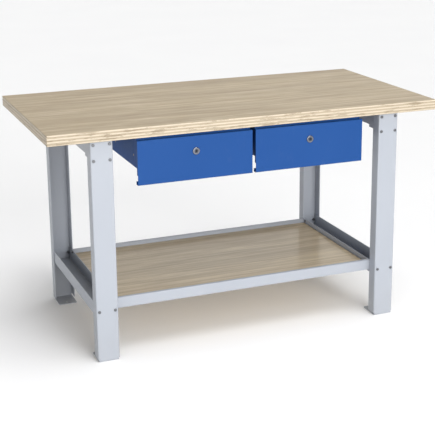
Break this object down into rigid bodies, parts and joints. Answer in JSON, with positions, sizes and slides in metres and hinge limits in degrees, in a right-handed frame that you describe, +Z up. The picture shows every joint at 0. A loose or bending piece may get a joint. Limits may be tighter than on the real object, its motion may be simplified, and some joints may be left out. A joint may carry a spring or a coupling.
{
  "type": "workbench with drawers",
  "caption": "Steel-framed workbench with a thick plywood top, a low wooden shelf and two lockable drawers hung under the front of the top.",
  "frame": {"origin": "on the floor, under the middle of the worktop", "axes": "+X along the bench to the right as seen from the drawers, +Y from the drawers to the back, +Z up"},
  "size_m": [1.5, 0.75, 0.85],
  "materials": {
    "worktop_plywood": "satin",
    "shelf_plywood": "satin",
    "grey_powder_coat": "satin",
    "blue_powder_coat": "satin",
    "lock_chrome": "polished",
    "slide_steel": "satin",
    "zinc_fasteners": "satin"
  },
  "bodies": {
    "root": {"left_casing": "blue_powder_coat", "left_casing_rivets": "zinc_fasteners", "left_casing_screws": "zinc_fasteners", "left_slide_outer_left": "slide_steel", "left_slide_outer_right": "slide_steel", "leg_bolts": "zinc_fasteners", "leg_front_left": "grey_powder_coat", "leg_front_right": "grey_powder_coat", "leg_nuts": "zinc_fasteners", "leg_rear_left": "grey_powder_coat", "leg_rear_right": "grey_powder_coat", "leg_washers": "zinc_fasteners", "lower_rail_left": "grey_powder_coat", "lower_rail_right": "grey_powder_coat", "right_casing": "blue_powder_coat", "right_casing_rivets": "zinc_fasteners", "right_casing_screws": "zinc_fasteners", "right_slide_outer_left": "slide_steel", "right_slide_outer_right": "slide_steel", "shelf_board": "shelf_plywood", "shelf_board_screws": "zinc_fasteners", "shelf_rail_bolts": "zinc_fasteners", "shelf_rail_front": "grey_powder_coat", "shelf_rail_nuts": "zinc_fasteners", "shelf_rail_rear": "grey_powder_coat", "upper_rail_left": "grey_powder_coat", "upper_rail_right": "grey_powder_coat", "worktop": "worktop_plywood", "worktop_screws": "zinc_fasteners"},
    "left_drawer": {"left_drawer_tray": "blue_powder_coat", "left_drawer_front": "blue_powder_coat", "left_slide_inner_left": "slide_steel", "left_slide_inner_right": "slide_steel", "left_lock_barrel": "lock_chrome", "left_lock_nut": "zinc_fasteners", "left_front_nuts": "zinc_fasteners", "left_tray_rivets": "zinc_fasteners"},
    "left_retainers": {"left_ball_retainers": "slide_steel"},
    "left_lock": {"left_lock_plug": "lock_chrome", "left_lock_cam": "zinc_fasteners", "left_cam_clip": "zinc_fasteners"},
    "right_drawer": {"right_drawer_tray": "blue_powder_coat", "right_drawer_front": "blue_powder_coat", "right_slide_inner_left": "slide_steel", "right_slide_inner_right": "slide_steel", "right_lock_barrel": "lock_chrome", "right_lock_nut": "zinc_fasteners", "right_front_nuts": "zinc_fasteners", "right_tray_rivets": "zinc_fasteners"},
    "right_retainers": {"right_ball_retainers": "slide_steel"},
    "right_lock": {"right_lock_plug": "lock_chrome", "right_lock_cam": "zinc_fasteners", "right_cam_clip": "zinc_fasteners"}
  },
  "joints": [
    {"name": "left_drawer_slide", "type": "slide", "parent": "root", "child": "left_drawer", "axis": [0, -1, 0], "range_m": [0, 0.38]},
    {"name": "left_retainer_slide", "type": "slide", "parent": "root", "child": "left_retainers", "axis": [0, -1, 0], "range_m": [0, 0.19]},
    {"name": "left_lock_turn", "type": "hinge", "parent": "left_drawer", "child": "left_lock", "pos_m": [-0.2215, -0.37, 0.746], "axis": [0, -1, 0], "range_deg": [0, 90]},
    {"name": "right_drawer_slide", "type": "slide", "parent": "root", "child": "right_drawer", "axis": [0, -1, 0], "range_m": [0, 0.38]},
    {"name": "right_retainer_slide", "type": "slide", "parent": "root", "child": "right_retainers", "axis": [0, -1, 0], "range_m": [0, 0.19]},
    {"name": "right_lock_turn", "type": "hinge", "parent": "right_drawer", "child": "right_lock", "pos_m": [0.2215, -0.37, 0.746], "axis": [0, -1, 0], "range_deg": [0, 90]}
  ],
  "couplings": [
    {"joint": "left_retainer_slide", "follows": "left_drawer_slide", "ratio": 0.5},
    {"joint": "right_retainer_slide", "follows": "right_drawer_slide", "ratio": 0.5}
  ]
}
